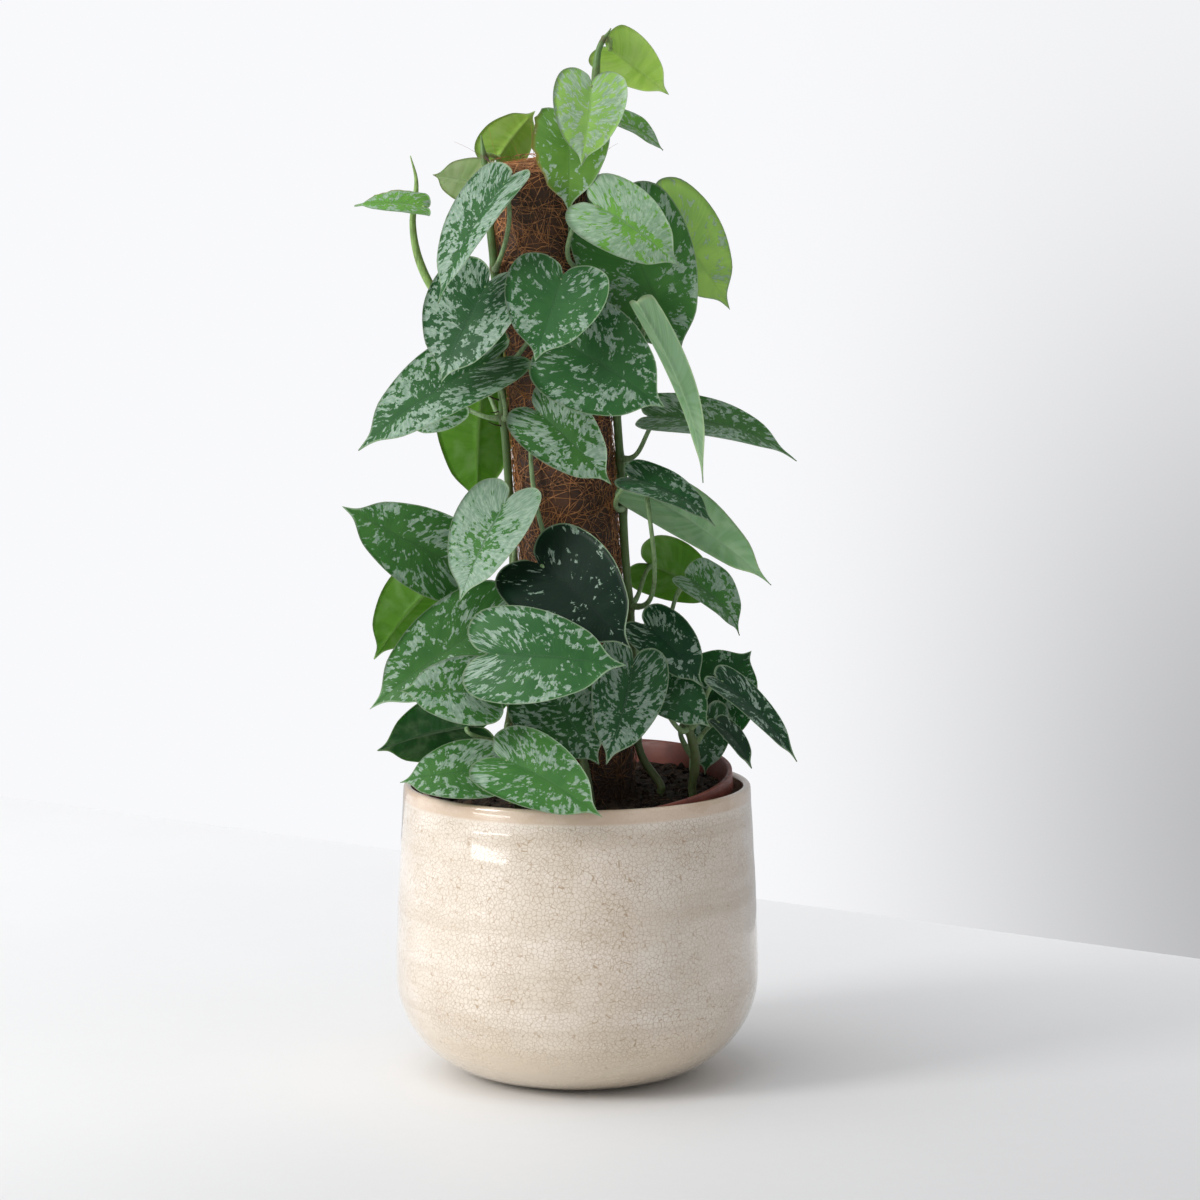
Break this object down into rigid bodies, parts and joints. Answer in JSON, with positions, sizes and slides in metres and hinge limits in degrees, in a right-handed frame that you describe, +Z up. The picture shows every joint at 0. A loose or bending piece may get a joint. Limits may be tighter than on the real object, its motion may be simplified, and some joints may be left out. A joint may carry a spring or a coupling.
{
  "type": "potted pothos plant",
  "caption": "Climbing plant with silver-spotted heart-shaped leaves on a coir pole, leaning in a plastic pot inside a round cream crackle-glazed planter.",
  "frame": {"origin": "centre of the planter's flat underside, on the surface it stands on", "axes": "+Z up, the front of the plant faces -Y, +X is to the viewer's right"},
  "size_m": [0.27, 0.2395, 0.6347],
  "materials": {
    "crackle_glaze": "glossy cream glaze with fine crackle, tan at the rim",
    "terracotta_plastic": "satin",
    "potting_soil": "matte, crumbly",
    "coir_fibre": "matte, tangled fibres",
    "stake_wood": "matte",
    "green_stem": "satin",
    "satin_leaf": "satin, splashed with silver, pale margin",
    "young_leaf": "satin, translucent yellow-green"
  },
  "bodies": {
    "root": {"cachepot": "crackle_glaze", "nursery_pot": "terracotta_plastic", "soil": "potting_soil", "pole_stake": "stake_wood", "coir_sleeve": "coir_fibre", "vine_left": "green_stem", "vine_right": "green_stem", "vine_front": "green_stem", "vine_back": "green_stem", "vine_low_left": "green_stem", "vine_low_right": "green_stem", "side_shoot": "green_stem", "leaf_01": "satin_leaf", "leaf_02": "satin_leaf", "leaf_03": "satin_leaf", "leaf_04": "satin_leaf", "leaf_05": "satin_leaf", "leaf_06": "satin_leaf", "leaf_07": "young_leaf", "leaf_08": "young_leaf", "leaf_09": "satin_leaf", "leaf_10": "satin_leaf", "leaf_11": "satin_leaf", "leaf_12": "young_leaf", "leaf_13": "satin_leaf", "leaf_14": "satin_leaf", "leaf_15": "satin_leaf", "leaf_16": "satin_leaf", "leaf_17": "young_leaf", "leaf_18": "young_leaf", "leaf_19": "satin_leaf", "leaf_20": "satin_leaf", "leaf_21": "young_leaf", "leaf_22": "satin_leaf", "leaf_23": "satin_leaf", "leaf_24": "satin_leaf", "leaf_25": "satin_leaf", "leaf_26": "satin_leaf", "leaf_27": "satin_leaf", "leaf_28": "satin_leaf", "leaf_29": "satin_leaf", "leaf_30": "satin_leaf", "leaf_31": "satin_leaf", "leaf_32": "satin_leaf", "leaf_33": "satin_leaf", "leaf_34": "satin_leaf", "leaf_35": "satin_leaf", "leaf_36": "satin_leaf", "leaf_37": "satin_leaf", "leaf_38": "satin_leaf", "leaf_39": "satin_leaf", "leaf_40": "satin_leaf", "leaf_41": "satin_leaf", "leaf_42": "satin_leaf", "leaf_43": "satin_leaf", "leaf_44": "satin_leaf", "leaf_45": "satin_leaf", "leaf_46": "satin_leaf", "leaf_47": "satin_leaf", "leaf_48": "satin_leaf"}
  },
  "joints": []
}
